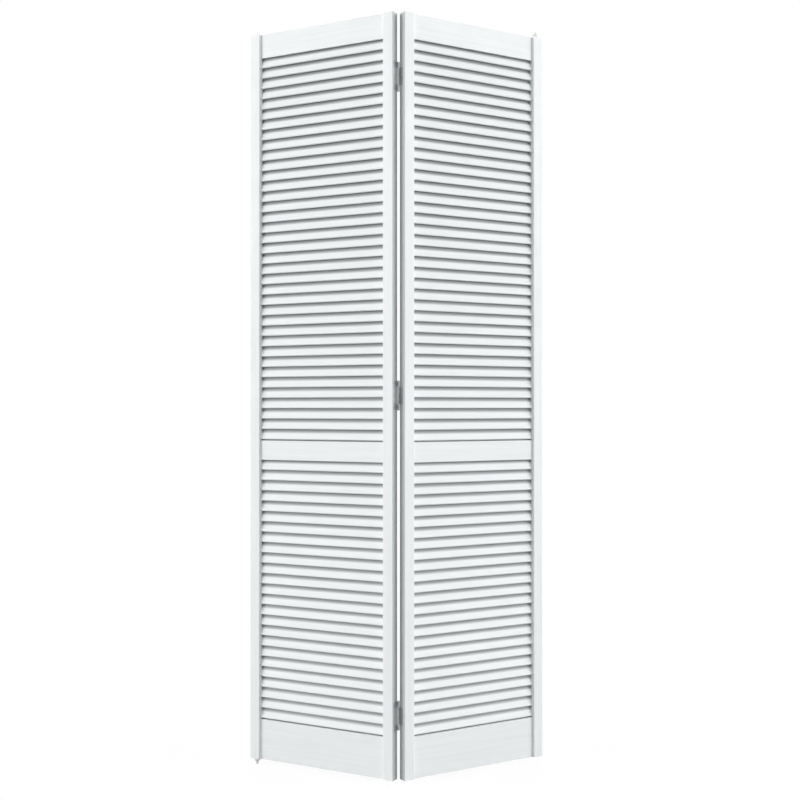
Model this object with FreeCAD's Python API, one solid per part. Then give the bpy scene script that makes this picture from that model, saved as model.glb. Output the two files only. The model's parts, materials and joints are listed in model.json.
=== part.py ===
import FreeCAD, Part
import math
import os

# Two-panel louvred bifold closet door, standing half folded.
#
# Frame: millimetres, +Z up, +X along the doorway, -Y towards the room.
# The origin is on the jamb pivot axis, on the face of the jamb bracket that carries the door.
# Both panels are first drawn closed, in the plane of the doorway, and then folded to rest.

# ---------------------------------------------------------------- driving dimensions

# Panels
PANEL_WIDTH = 449.2625          # 17 11/16 in
PANEL_GAP = 3.175               # 1/8 in between the two closed panels
REST_SWING_DEG = 29.4           # each panel stands this far from the closed plane
STILE_WIDTH = 30.1625           # 1 3/16 in
STILE_THICKNESS = 25.4          # 1 in
STILE_ARRIS = 2.0               # rounding of a stile's four long edges
RAIL_THICKNESS = 15.875         # 5/8 in
RAIL_SETBACK = 6.35             # 1/4 in from the stiles' front face back to the rails'
RAIL_ARRIS = 0.8
TOP_RAIL_HEIGHT = 65.0875       # 2 9/16 in
MID_RAIL_HEIGHT = 53.18125      # 2 3/32 in
BOTTOM_RAIL_HEIGHT = 109.5375   # 4 5/16 in

# Louvres
SLAT_PITCH = 28.575             # 1 1/8 in
UPPER_SLAT_COUNT = 37
LOWER_SLAT_COUNT = 25
SLAT_WIDTH = 34.925             # 1 3/8 in
SLAT_THICKNESS = 6.35           # 1/4 in
OPENING_EASE = 2.38125          # 3/32 in that an opening is taller than its slats' pitches
SLAT_SILL_GAP = 3.6             # lowest slat above the rail under it
SILL_LIP_HEIGHT = 7.9375        # 5/16 in that a rail stands higher behind its lowest slat
SLAT_HEAD_GAP = 1.0             # highest slat below the bevel of the rail over it
SLOT_DEPTH = 6.35               # how far a stile is slotted for the slat ends
SLOT_CLEARANCE = 0.1
SLAT_END_PLAY = 0.25

# Dowels that join rails and stiles
DOWEL_DIAMETER = 7.9375         # 5/16 in
DOWEL_IN_RAIL = 29.0
DOWEL_INSET = 15.0              # dowel axis from the rail's long edge
DOWEL_WALL = 1.0                # left between a dowel and the pivot bore
DOWEL_CLEARANCE = 0.05
DOWEL_END_PLAY = 0.5

# Sleeves that line the pivot bores
SLEEVE_DIAMETER = 11.1125       # 7/16 in
SLEEVE_FLANGE_DIAMETER = 15.875
SLEEVE_FLANGE_THICKNESS = 1.6
SLEEVE_CLEARANCE = 0.03
RUNNING_CLEARANCE = 0.05        # radial play of a pin that turns or slides
FACE_PLAY = 0.05                # between stacked pieces that turn on each other

# Bottom pivot: threaded pin, height nut, thrust washer, plug
BOTTOM_PIN_DIAMETER = 7.9375    # 5/16 in
BOTTOM_PIN_TIP = 8.0            # held in the jamb bracket
BOTTOM_PIN_CHAMFER = 0.8
BOTTOM_PIN_ENGAGEMENT = 30.0    # length inside the plug
SEAT_COLLAR_DIAMETER = 12.7
SEAT_COLLAR_THICKNESS = 1.6
HEIGHT_NUT_FLATS = 14.2875      # 9/16 in across flats
HEIGHT_NUT_THICKNESS = 4.0
WASHER_DIAMETER = 14.0
WASHER_THICKNESS = 0.8
PLUG_LENGTH = 38.1
BORE_END_PLAY = 1.0

# Top pivot and track guide: spring plungers
TOP_SLEEVE_LENGTH = 31.75
PLUNGER_LIP = 4.0               # length of the sleeve's narrow mouth
PLUNGER_NECK_DIAMETER = 6.35    # 1/4 in
PLUNGER_CHAMBER_DIAMETER = 8.9
PLUNGER_COLLAR_DIAMETER = 8.6
PLUNGER_COLLAR_THICKNESS = 2.4
PLUNGER_TAIL_DIAMETER = 4.0
PLUNGER_TAIL_LENGTH = 8.0
PIVOT_TRAVEL = 9.525            # the top pivot can be pushed in flush
PIVOT_TIP_DIAMETER = 6.0        # turns in a 1/4 in hole of the track bracket
PIVOT_CORE_DIAMETER = 3.175
PIVOT_HEAD_DIAMETER = 4.2
PIVOT_HEAD_THICKNESS = 0.8
PIVOT_HEAD_SINK = 0.4           # top of the riveted head below the cap's rim
CAP_CHAMFER = 0.6
GUIDE_TRAVEL = 6.35
GUIDE_STUD_DIAMETER = 4.7625
GUIDE_HEAD_DIAMETER = 7.0
GUIDE_HEAD_THICKNESS = 1.0
ROLLER_DIAMETER = 15.875        # 5/8 in
ROLLER_WIDTH = 6.35
ROLLER_CHAMFER = 0.6
ROLLER_FLANGE_GAP = 0.5         # left above the sleeve when the guide is pushed in
HEAD_CLEARANCE = 0.2
SPRING_WIRE = 1.0
SPRING_MEAN_DIAMETER = 7.3
SPRING_TURNS = 9
SPRING_ARCS_PER_TURN = 4

# Hinges: the inner leaf folds into the window of the outer leaf
HINGE_END_DISTANCE = 165.1      # 6 1/2 in from the panel's end to the hinge's centre
HINGE_HEIGHT = 76.2             # 3 in
INNER_LEAF_HEIGHT = 44.45       # 1 3/4 in
WINDOW_CLEARANCE = 0.6
LEAF_THICKNESS = 1.5
LEAF_DEPTH = 22.225             # from the stile's back face towards its front
LEAF_FRONT_BAND = 5.0           # joins the outer leaf's two lobes
LEAF_CORNER = 4.0
HINGE_PIN_DIAMETER = 3.175      # 1/8 in
HINGE_AXIS_BEHIND = 3.175       # pin axis behind the panels' back face
HINGE_PIN_HEAD_DIAMETER = 4.8
HINGE_PIN_HEAD_HEIGHT = 1.2
SCREW_SHANK_DIAMETER = 3.5
SCREW_HEAD_DIAMETER = 6.6
SCREW_HEAD_SINK = 0.1
SCREW_HEAD_RIM = 0.3
SCREW_HEAD_CONE = 1.6
SCREW_LENGTH = 19.05            # 3/4 in
SCREW_POINT = 4.0
SCREW_CLEARANCE = 0.04
SCREW_RECESS_WIDTH = 0.9
SCREW_RECESS_SPAN = 3.6
SCREW_RECESS_DEPTH = 1.1
LOBE_SCREW_EDGE = 5.5           # lobe screws from the leaf's front end and the stile's back
INNER_SCREW_SPACING = 14.5
INNER_SCREW_STAGGER = 5.0

# ---------------------------------------------------------------- derived places

ORIGIN = FreeCAD.Vector(0, 0, 0)
UP = FreeCAD.Vector(0, 0, 1)
ALONG = FreeCAD.Vector(1, 0, 0)

HALF_STILE = STILE_THICKNESS / 2
RAIL_Y = RAIL_SETBACK - HALF_STILE + RAIL_THICKNESS / 2
RAIL_FRONT_Y = RAIL_Y - RAIL_THICKNESS / 2
RAIL_BACK_Y = RAIL_Y + RAIL_THICKNESS / 2
HALF_GAP = PANEL_GAP / 2

NUT_Z = SEAT_COLLAR_THICKNESS + FACE_PLAY
WASHER_Z = NUT_Z + HEIGHT_NUT_THICKNESS + FACE_PLAY
PLUG_Z = WASHER_Z + WASHER_THICKNESS + FACE_PLAY
DOOR_Z = PLUG_Z + SLEEVE_FLANGE_THICKNESS

UPPER_OPENING = UPPER_SLAT_COUNT * SLAT_PITCH + OPENING_EASE
LOWER_OPENING = LOWER_SLAT_COUNT * SLAT_PITCH + OPENING_EASE
LOWER_SILL_Z = DOOR_Z + BOTTOM_RAIL_HEIGHT
MID_RAIL_Z = LOWER_SILL_Z + LOWER_OPENING
UPPER_SILL_Z = MID_RAIL_Z + MID_RAIL_HEIGHT
TOP_RAIL_Z = UPPER_SILL_Z + UPPER_OPENING
TOP_Z = TOP_RAIL_Z + TOP_RAIL_HEIGHT
PANEL_HEIGHT = TOP_Z - DOOR_Z

# X places on the closed pivot panel, whose pivot is in the middle of its jamb stile
JAMB_EDGE_X = -STILE_WIDTH / 2
RAIL_START_X = STILE_WIDTH / 2
HINGE_EDGE_X = JAMB_EDGE_X + PANEL_WIDTH
RAIL_END_X = HINGE_EDGE_X - STILE_WIDTH
ARM = HINGE_EDGE_X + HALF_GAP
HINGE_AXIS_Y = HALF_STILE + HINGE_AXIS_BEHIND
HINGE_AXIS = FreeCAD.Vector(ARM, HINGE_AXIS_Y, 0)
GUIDE_X = 2 * ARM

# Slats lean back from their lower, front edge until both edges are flush with the rails
SLAT_RADIUS = SLAT_THICKNESS / 2
SLAT_SPAN = SLAT_WIDTH - SLAT_THICKNESS
SLAT_TILT = math.asin((RAIL_THICKNESS - SLAT_THICKNESS) / SLAT_SPAN)
SLAT_HALF_RISE = SLAT_SPAN / 2 * math.cos(SLAT_TILT)
SLAT_HALF_HEIGHT = SLAT_HALF_RISE + SLAT_RADIUS

SLEEVE_BORE_RADIUS = SLEEVE_DIAMETER / 2 + SLEEVE_CLEARANCE
DOWEL_IN_STILE = STILE_WIDTH / 2 - SLEEVE_BORE_RADIUS - DOWEL_WALL

KNUCKLE_BORE_RADIUS = HINGE_PIN_DIAMETER / 2 + RUNNING_CLEARANCE
KNUCKLE_RADIUS = KNUCKLE_BORE_RADIUS + LEAF_THICKNESS
WINDOW_HEIGHT = INNER_LEAF_HEIGHT + 2 * WINDOW_CLEARANCE
LOBE_HEIGHT = (HINGE_HEIGHT - WINDOW_HEIGHT) / 2
OUTER_LEAF_FRONT_Y = HALF_STILE - LEAF_DEPTH
WINDOW_FRONT_Y = OUTER_LEAF_FRONT_Y + LEAF_FRONT_BAND
INNER_LEAF_FRONT_Y = WINDOW_FRONT_Y + WINDOW_CLEARANCE

HINGE_CENTRES = {
    "bottom": DOOR_Z + HINGE_END_DISTANCE,
    "middle": DOOR_Z + PANEL_HEIGHT / 2,
    "top": TOP_Z - HINGE_END_DISTANCE,
}


# ---------------------------------------------------------------- small helpers

def cylinder(radius, z_low, z_high, x=0.0, y=0.0):
    """Upright cylinder between two heights."""
    return Part.makeCylinder(radius, z_high - z_low, FreeCAD.Vector(x, y, z_low), UP)


def cross_cylinder(radius, x_low, x_high, y, z):
    """Cylinder along the doorway between two X places."""
    return Part.makeCylinder(radius, x_high - x_low, FreeCAD.Vector(x_low, y, z), ALONG)


def box(low, high):
    """Box between two corners."""
    size = [top - bottom for bottom, top in zip(low, high)]
    return Part.makeBox(size[0], size[1], size[2], FreeCAD.Vector(*low))


def chamfered_disc(radius, z_low, z_high, chamfer, x=0.0, y=0.0):
    """Upright disc whose two rims are bevelled."""
    points = [
        FreeCAD.Vector(0, 0, z_low),
        FreeCAD.Vector(radius - chamfer, 0, z_low),
        FreeCAD.Vector(radius, 0, z_low + chamfer),
        FreeCAD.Vector(radius, 0, z_high - chamfer),
        FreeCAD.Vector(radius - chamfer, 0, z_high),
        FreeCAD.Vector(0, 0, z_high),
        FreeCAD.Vector(0, 0, z_low),
    ]
    disc = Part.Face(Part.makePolygon(points)).revolve(ORIGIN, UP, 360)
    disc.translate(FreeCAD.Vector(x, y, 0))
    return disc


def rounded_face(corners, radii):
    """Flat face with the given corners, each rounded by its own radius (0 keeps it sharp)."""
    edges = []
    count = len(corners)
    starts = []
    ends = []
    middles = []
    for index in range(count):
        corner = corners[index]
        before = (corners[index - 1] - corner).normalize()
        after = (corners[(index + 1) % count] - corner).normalize()
        half_angle = before.getAngle(after) / 2
        radius = radii[index]
        reach = radius / math.tan(half_angle)
        starts.append(corner + before * reach)
        ends.append(corner + after * reach)
        bisector = (before + after).normalize()
        middles.append(corner + bisector * (radius / math.sin(half_angle) - radius))
    for index in range(count):
        if radii[index] > 0:
            edges.append(Part.Arc(starts[index], middles[index], ends[index]).toShape())
        edges.append(Part.LineSegment(ends[index], starts[(index + 1) % count]).toShape())
    return Part.Face(Part.Wire(edges))


def fold(shape, panel):
    """Move a piece from the closed door to its place on the half-folded door."""
    placed = shape.copy()
    if panel == "guide":
        placed.rotate(HINGE_AXIS, UP, 2 * REST_SWING_DEG)
    placed.rotate(ORIGIN, UP, -REST_SWING_DEG)
    return placed


def mirrored(shape):
    """The same piece on the other panel: a mirror image about the closed door's middle."""
    return shape.mirror(FreeCAD.Vector(ARM, 0, 0), ALONG)


# ---------------------------------------------------------------- louvre slats

def slat_centres(sill_z, count):
    """Heights of the slats' centres above one rail, from the lowest up."""
    lowest = sill_z + SLAT_SILL_GAP + SLAT_HALF_HEIGHT
    return [lowest + index * SLAT_PITCH for index in range(count)]


def slat_prism(x_low, x_high, z_centre, growth=0.0):
    """One slat, or the slot for it when growth is its clearance: a plank with round edges."""
    radius = SLAT_RADIUS + growth
    up_slope = FreeCAD.Vector(0, math.sin(SLAT_TILT), math.cos(SLAT_TILT))
    across = FreeCAD.Vector(0, -math.cos(SLAT_TILT), math.sin(SLAT_TILT))
    centre = FreeCAD.Vector(x_low, RAIL_Y, z_centre)
    low_end = centre - up_slope * (SLAT_SPAN / 2)
    high_end = centre + up_slope * (SLAT_SPAN / 2)
    side = across * radius
    low_arc = Part.Arc(low_end + side, low_end - up_slope * radius, low_end - side)
    high_arc = Part.Arc(high_end - side, high_end + up_slope * radius, high_end + side)
    edges = [
        low_arc.toShape(),
        Part.LineSegment(low_end - side, high_end - side).toShape(),
        high_arc.toShape(),
        Part.LineSegment(high_end + side, low_end + side).toShape(),
    ]
    face = Part.Face(Part.Wire(edges))
    return face.extrude(ALONG * (x_high - x_low))


def slat_group(centres):
    """The slats of one opening of the closed pivot panel, as separate solids."""
    reach = SLOT_DEPTH - SLAT_END_PLAY
    slats = [slat_prism(RAIL_START_X - reach, RAIL_END_X + reach, z) for z in centres]
    return Part.makeCompound(slats)


# ---------------------------------------------------------------- rails and dowels

def dowel_heights(z_low, height):
    """A rail is held by two dowels at each end."""
    return [z_low + DOWEL_INSET, z_low + height - DOWEL_INSET]


def dowel_pair(z_low, height, growth=0.0, end_growth=0.0):
    """The dowels, or their holes, of both ends of one rail."""
    radius = DOWEL_DIAMETER / 2 + growth
    stile_reach = DOWEL_IN_STILE + end_growth
    rail_reach = DOWEL_IN_RAIL + end_growth
    dowels = []
    for z in dowel_heights(z_low, height):
        near_ends = (RAIL_START_X - stile_reach, RAIL_START_X + rail_reach)
        far_ends = (RAIL_END_X - rail_reach, RAIL_END_X + stile_reach)
        near_dowel = cross_cylinder(radius, near_ends[0], near_ends[1], RAIL_Y, z)
        far_dowel = cross_cylinder(radius, far_ends[0], far_ends[1], RAIL_Y, z)
        dowels.extend([near_dowel, far_dowel])
    return dowels


def rail_foot(z_low, bevelled):
    """Y and Z down the front and along the underside of a rail, to its back edge."""
    if not bevelled:
        return [(RAIL_FRONT_Y, z_low), (RAIL_BACK_Y, z_low)]
    top_slat_drop = SLAT_PITCH + OPENING_EASE - SLAT_SILL_GAP - SLAT_HALF_HEIGHT
    offset = SLAT_RADIUS + SLAT_HEAD_GAP
    land_y = RAIL_Y + top_slat_drop * math.tan(SLAT_TILT) - offset / math.cos(SLAT_TILT)
    bevel_rise = (RAIL_BACK_Y - land_y) / math.tan(SLAT_TILT)
    return [(RAIL_FRONT_Y, z_low), (land_y, z_low), (RAIL_BACK_Y, z_low + bevel_rise)]


def rail(z_low, height, bevelled, lipped):
    """One rail: bevelled below for the slat that tucks behind it, lipped behind the slat on it."""
    z_high = z_low + height
    outline = rail_foot(z_low, bevelled)
    radii = [RAIL_ARRIS] * len(outline)
    if lipped:
        z_lip = z_high + SILL_LIP_HEIGHT
        outline.extend([(RAIL_BACK_Y, z_lip), (RAIL_Y, z_lip), (RAIL_Y, z_high)])
        radii.extend([RAIL_ARRIS, RAIL_ARRIS, 0])
    else:
        outline.append((RAIL_BACK_Y, z_high))
        radii.append(RAIL_ARRIS)
    outline.append((RAIL_FRONT_Y, z_high))
    radii.append(RAIL_ARRIS)
    corners = [FreeCAD.Vector(RAIL_START_X, y, z) for y, z in outline]
    body = rounded_face(corners, radii).extrude(ALONG * (RAIL_END_X - RAIL_START_X))
    return body.cut(dowel_pair(z_low, height, DOWEL_CLEARANCE, DOWEL_END_PLAY))


RAILS = {
    # z_low, height, bevelled, lipped
    "bottom_rail": (DOOR_Z, BOTTOM_RAIL_HEIGHT, False, True),
    "mid_rail": (MID_RAIL_Z, MID_RAIL_HEIGHT, True, True),
    "top_rail": (TOP_RAIL_Z, TOP_RAIL_HEIGHT, True, False),
}


def all_dowels(growth=0.0, end_growth=0.0):
    """The dowels, or their holes, of one panel."""
    dowels = []
    for z_low, height, _bevelled, _lipped in RAILS.values():
        dowels.extend(dowel_pair(z_low, height, growth, end_growth))
    return dowels


# ---------------------------------------------------------------- hinge screws

def screw_solid(growth=0.0):
    """Countersunk screw along +X from the leaf's outer face at X = 0 into the stile."""
    head = SCREW_HEAD_DIAMETER / 2 + growth
    shank = SCREW_SHANK_DIAMETER / 2 + growth
    rim_x = SCREW_HEAD_RIM
    cone_x = rim_x + SCREW_HEAD_CONE
    point_x = SCREW_LENGTH - SCREW_POINT
    outline = [(0, 0), (0, head), (rim_x, head), (cone_x, shank)]
    outline.extend([(point_x, shank), (SCREW_LENGTH, growth), (SCREW_LENGTH, 0), (0, 0)])
    if growth == 0:
        outline.remove((SCREW_LENGTH, growth))
    points = [FreeCAD.Vector(x, radius, 0) for x, radius in outline]
    return Part.Face(Part.makePolygon(points)).revolve(ORIGIN, ALONG, 360)


def hinge_screw():
    """The screw with its crossed driver recess."""
    half_width = SCREW_RECESS_WIDTH / 2
    half_span = SCREW_RECESS_SPAN / 2
    upright = box((0, -half_width, -half_span), (SCREW_RECESS_DEPTH, half_width, half_span))
    level = box((0, -half_span, -half_width), (SCREW_RECESS_DEPTH, half_span, half_width))
    return screw_solid().cut([upright, level])


def screw_hole():
    """What the screw takes out of leaf and stile, open past the leaf's outer face."""
    mouth_radius = SCREW_HEAD_DIAMETER / 2 + SCREW_CLEARANCE
    mouth = cross_cylinder(mouth_radius, -LEAF_THICKNESS, 0, 0, 0)
    return screw_solid(SCREW_CLEARANCE).fuse(mouth)


def outer_screw_places():
    """Y and height above the hinge's centre of the outer leaf's screws: two in each lobe."""
    lobe_z = HINGE_HEIGHT / 2 - LOBE_HEIGHT / 2
    front_y = OUTER_LEAF_FRONT_Y + LOBE_SCREW_EDGE
    back_y = HALF_STILE - LOBE_SCREW_EDGE
    return [(y, z) for y in (front_y, back_y) for z in (-lobe_z, lobe_z)]


def inner_screw_places():
    """Y and height above the hinge's centre of the inner leaf's three staggered screws."""
    middle_y = (INNER_LEAF_FRONT_Y + HALF_STILE) / 2
    stagger = INNER_SCREW_STAGGER / 2
    return [
        (middle_y + stagger, -INNER_SCREW_SPACING),
        (middle_y - stagger, 0),
        (middle_y + stagger, INNER_SCREW_SPACING),
    ]


def set_in_pivot_stile(screw_or_hole, y, z):
    """Put a screw, drawn along +X, into the pivot panel's hinge edge, pointing to -X."""
    placed = screw_or_hole.copy()
    placed.rotate(ORIGIN, UP, 180)
    placed.translate(FreeCAD.Vector(HINGE_EDGE_X + LEAF_THICKNESS - SCREW_HEAD_SINK, y, z))
    return placed


def screws_for(places, shape):
    """One shape per screw place at all three hinges, drawn on the pivot panel's hinge edge."""
    placed = []
    for centre_z in HINGE_CENTRES.values():
        placed.extend(set_in_pivot_stile(shape, y, centre_z + z) for y, z in places)
    return placed


# ---------------------------------------------------------------- stiles

def stile(x_low, slotted_side, bores, screw_places):
    """One stile: slotted for the slats, bored for dowels, pivots and hinge screws."""
    x_high = x_low + STILE_WIDTH
    corners = [
        FreeCAD.Vector(x_low, -HALF_STILE, DOOR_Z),
        FreeCAD.Vector(x_high, -HALF_STILE, DOOR_Z),
        FreeCAD.Vector(x_high, HALF_STILE, DOOR_Z),
        FreeCAD.Vector(x_low, HALF_STILE, DOOR_Z),
    ]
    body = rounded_face(corners, [STILE_ARRIS] * 4).extrude(UP * PANEL_HEIGHT)
    if slotted_side == "right":
        slot_ends = (x_high - SLOT_DEPTH, x_high + SLOT_DEPTH)
    else:
        slot_ends = (x_low - SLOT_DEPTH, x_low + SLOT_DEPTH)
    centres = slat_centres(LOWER_SILL_Z, LOWER_SLAT_COUNT)
    centres += slat_centres(UPPER_SILL_Z, UPPER_SLAT_COUNT)
    slots = [slat_prism(slot_ends[0], slot_ends[1], z, SLOT_CLEARANCE) for z in centres]
    dowel_holes = all_dowels(DOWEL_CLEARANCE, DOWEL_END_PLAY)
    screw_holes = screws_for(screw_places, screw_hole())
    return body.cut(slots + dowel_holes + bores + screw_holes)


# ---------------------------------------------------------------- bottom pivot

def bottom_bore():
    """Bore in the foot of the jamb stile."""
    return cylinder(SLEEVE_BORE_RADIUS, DOOR_Z - 1, DOOR_Z + PLUG_LENGTH + BORE_END_PLAY)


def bottom_plug():
    """Flanged plug pressed into the jamb stile; it turns on the pin."""
    flange = cylinder(SLEEVE_FLANGE_DIAMETER / 2, PLUG_Z, DOOR_Z)
    tube = cylinder(SLEEVE_DIAMETER / 2, PLUG_Z, DOOR_Z + PLUG_LENGTH)
    bore_radius = BOTTOM_PIN_DIAMETER / 2 + RUNNING_CLEARANCE
    bore = cylinder(bore_radius, PLUG_Z - 1, DOOR_Z + PLUG_LENGTH + 1)
    return flange.fuse(tube).cut(bore).removeSplitter()


def bottom_pin():
    """Pin whose tip stands in the jamb bracket and whose collar carries the nut."""
    radius = BOTTOM_PIN_DIAMETER / 2
    top = DOOR_Z + BOTTOM_PIN_ENGAGEMENT
    low_chamfer = -BOTTOM_PIN_TIP - BOTTOM_PIN_CHAMFER
    shank = chamfered_disc(radius, low_chamfer, top, BOTTOM_PIN_CHAMFER)
    collar = cylinder(SEAT_COLLAR_DIAMETER / 2, 0, SEAT_COLLAR_THICKNESS)
    return shank.fuse(collar).removeSplitter()


def height_nut():
    """Hexagon nut on the pin; turning it lifts the door."""
    circumradius = HEIGHT_NUT_FLATS / 2 / math.cos(math.pi / 6)
    points = []
    for corner in range(7):
        angle = math.radians(60 * corner)
        x = circumradius * math.cos(angle)
        y = circumradius * math.sin(angle)
        points.append(FreeCAD.Vector(x, y, NUT_Z))
    prism = Part.Face(Part.makePolygon(points)).extrude(UP * HEIGHT_NUT_THICKNESS)
    bore_radius = BOTTOM_PIN_DIAMETER / 2 + RUNNING_CLEARANCE
    return prism.cut(cylinder(bore_radius, NUT_Z - 1, WASHER_Z + 1))


def thrust_washer():
    """Washer between the nut and the plug's flange."""
    disc = cylinder(WASHER_DIAMETER / 2, WASHER_Z, WASHER_Z + WASHER_THICKNESS)
    bore_radius = BOTTOM_PIN_DIAMETER / 2 + RUNNING_CLEARANCE
    return disc.cut(cylinder(bore_radius, WASHER_Z - 1, PLUG_Z + 1))


# ---------------------------------------------------------------- spring plungers

PLUNGER_MOUTH_Z = TOP_Z + SLEEVE_FLANGE_THICKNESS
LIP_Z = PLUNGER_MOUTH_Z - PLUNGER_LIP
COLLAR_TOP_Z = LIP_Z - FACE_PLAY
COLLAR_Z = COLLAR_TOP_Z - PLUNGER_COLLAR_THICKNESS
WELL_FLOOR_Z = TOP_Z - TOP_SLEEVE_LENGTH - BORE_END_PLAY
CAP_TOP_Z = PLUNGER_MOUTH_Z + PIVOT_TRAVEL
ROLLER_Z = PLUNGER_MOUTH_Z + GUIDE_TRAVEL + ROLLER_FLANGE_GAP
ROLLER_TOP_Z = ROLLER_Z + ROLLER_WIDTH


def top_bore(x):
    """Blind bore in the top of an outer stile."""
    return cylinder(SLEEVE_BORE_RADIUS, WELL_FLOOR_Z, TOP_Z + 1, x)


def plunger_sleeve(x):
    """Flanged sleeve pressed into the bore; its narrow mouth keeps the plunger in."""
    flange = cylinder(SLEEVE_FLANGE_DIAMETER / 2, TOP_Z, PLUNGER_MOUTH_Z, x)
    tube = cylinder(SLEEVE_DIAMETER / 2, TOP_Z - TOP_SLEEVE_LENGTH, PLUNGER_MOUTH_Z, x)
    mouth_radius = PLUNGER_NECK_DIAMETER / 2 + RUNNING_CLEARANCE
    mouth = cylinder(mouth_radius, LIP_Z - 1, PLUNGER_MOUTH_Z + 1, x)
    chamber = cylinder(PLUNGER_CHAMBER_DIAMETER / 2, TOP_Z - TOP_SLEEVE_LENGTH - 1, LIP_Z, x)
    return flange.fuse(tube).cut([mouth, chamber]).removeSplitter()


def plunger_foot(x):
    """Collar and tail that both plungers have under the sleeve's mouth."""
    collar = cylinder(PLUNGER_COLLAR_DIAMETER / 2, COLLAR_Z, COLLAR_TOP_Z, x)
    tail = cylinder(PLUNGER_TAIL_DIAMETER / 2, COLLAR_Z - PLUNGER_TAIL_LENGTH, COLLAR_TOP_Z, x)
    return collar.fuse(tail)


def plunger_spring(x):
    """Coil spring from the floor of the bore up to the plunger's collar.

    The coil's path is a chain of equal arcs, each tangent to the next.
    """
    low = WELL_FLOOR_Z + SPRING_WIRE / 2
    high = COLLAR_Z - SPRING_WIRE / 2
    radius = SPRING_MEAN_DIAMETER / 2
    arc_count = SPRING_TURNS * SPRING_ARCS_PER_TURN
    angle = 2 * math.pi / SPRING_ARCS_PER_TURN
    rise = (high - low) / arc_count
    slope = math.atan2(rise, 2 * radius * math.tan(angle / 2))
    half_chord = math.hypot(2 * radius * math.sin(angle / 2), rise) / 2
    half_bend = math.asin(math.cos(slope) * math.sin(angle / 2))
    middle_radius = radius * math.cos(angle / 2) + half_chord * math.tan(half_bend / 2)

    def path_point(distance, arcs):
        turned = angle * arcs
        return FreeCAD.Vector(
            distance * math.cos(turned), distance * math.sin(turned), low + rise * arcs
        )

    arcs = []
    for index in range(arc_count):
        start = path_point(radius, index)
        middle = path_point(middle_radius, index + 0.5)
        arcs.append(Part.Arc(start, middle, path_point(radius, index + 1)).toShape())
    tangent = FreeCAD.Vector(0, math.cos(slope), math.sin(slope))
    section = Part.Circle(path_point(radius, 0), tangent, SPRING_WIRE / 2)
    coil = Part.Wire(arcs).makePipe(Part.Face(Part.Wire(section.toShape())))
    coil.translate(FreeCAD.Vector(x, 0, 0))
    return coil


def top_pivot_core():
    """Steel plunger; its riveted head holds the cap on."""
    head_top = CAP_TOP_Z - PIVOT_HEAD_SINK
    rod = cylinder(PIVOT_CORE_DIAMETER / 2, COLLAR_Z, head_top)
    head = cylinder(PIVOT_HEAD_DIAMETER / 2, head_top - PIVOT_HEAD_THICKNESS, head_top)
    return plunger_foot(0).fuse([rod, head]).removeSplitter()


def top_pivot_cap():
    """Plastic cap that stands still in the track bracket while the door turns."""
    low = COLLAR_TOP_Z + FACE_PLAY
    neck = cylinder(PLUNGER_NECK_DIAMETER / 2, low, PLUNGER_MOUTH_Z)
    tip = chamfered_disc(PIVOT_TIP_DIAMETER / 2, low, CAP_TOP_Z, CAP_CHAMFER)
    bore = cylinder(PIVOT_CORE_DIAMETER / 2 + RUNNING_CLEARANCE, low - 1, CAP_TOP_Z + 1)
    head_seat_z = CAP_TOP_Z - PIVOT_HEAD_SINK - PIVOT_HEAD_THICKNESS - FACE_PLAY
    head_radius = PIVOT_HEAD_DIAMETER / 2 + HEAD_CLEARANCE
    head_seat = cylinder(head_radius, head_seat_z, CAP_TOP_Z + 1)
    return neck.fuse(tip).cut([bore, head_seat]).removeSplitter()


def guide_plunger():
    """Plunger of the track guide, with the stud and snap head that hold the roller."""
    head_top = ROLLER_TOP_Z
    head_low = head_top - GUIDE_HEAD_THICKNESS
    neck = cylinder(PLUNGER_NECK_DIAMETER / 2, COLLAR_Z, ROLLER_Z - FACE_PLAY, GUIDE_X)
    stud = cylinder(GUIDE_STUD_DIAMETER / 2, COLLAR_Z, head_top, GUIDE_X)
    head = cylinder(GUIDE_HEAD_DIAMETER / 2, head_low, head_top, GUIDE_X)
    return plunger_foot(GUIDE_X).fuse([neck, stud, head]).removeSplitter()


def guide_roller():
    """Roller that runs between the lips of the head track."""
    wheel = chamfered_disc(ROLLER_DIAMETER / 2, ROLLER_Z, ROLLER_TOP_Z, ROLLER_CHAMFER, GUIDE_X)
    bore_radius = GUIDE_STUD_DIAMETER / 2 + RUNNING_CLEARANCE
    bore = cylinder(bore_radius, ROLLER_Z - 1, ROLLER_TOP_Z + 1, GUIDE_X)
    seat_z = ROLLER_TOP_Z - GUIDE_HEAD_THICKNESS - FACE_PLAY
    seat = cylinder(GUIDE_HEAD_DIAMETER / 2 + HEAD_CLEARANCE, seat_z, ROLLER_TOP_Z + 1, GUIDE_X)
    return wheel.cut([bore, seat])


# ---------------------------------------------------------------- hinges

def leaf_plate(front_y, z_low, z_high, corner_radius):
    """Flat of a leaf on the pivot panel's hinge edge, run back into its knuckles."""
    corners = [
        FreeCAD.Vector(HINGE_EDGE_X, front_y, z_low),
        FreeCAD.Vector(HINGE_EDGE_X, HINGE_AXIS_Y, z_low),
        FreeCAD.Vector(HINGE_EDGE_X, HINGE_AXIS_Y, z_high),
        FreeCAD.Vector(HINGE_EDGE_X, front_y, z_high),
    ]
    radii = [corner_radius, 0, 0, corner_radius]
    return rounded_face(corners, radii).extrude(ALONG * LEAF_THICKNESS)


def knuckle(z_low, z_high):
    """Rolled eye round the hinge pin, without its bore."""
    return cylinder(KNUCKLE_RADIUS, z_low, z_high, ARM, HINGE_AXIS_Y)


def pin_bore(z_centre):
    """Bore through all knuckles of one hinge."""
    reach = HINGE_HEIGHT / 2 + 1
    return cylinder(KNUCKLE_BORE_RADIUS, z_centre - reach, z_centre + reach, ARM, HINGE_AXIS_Y)


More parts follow.
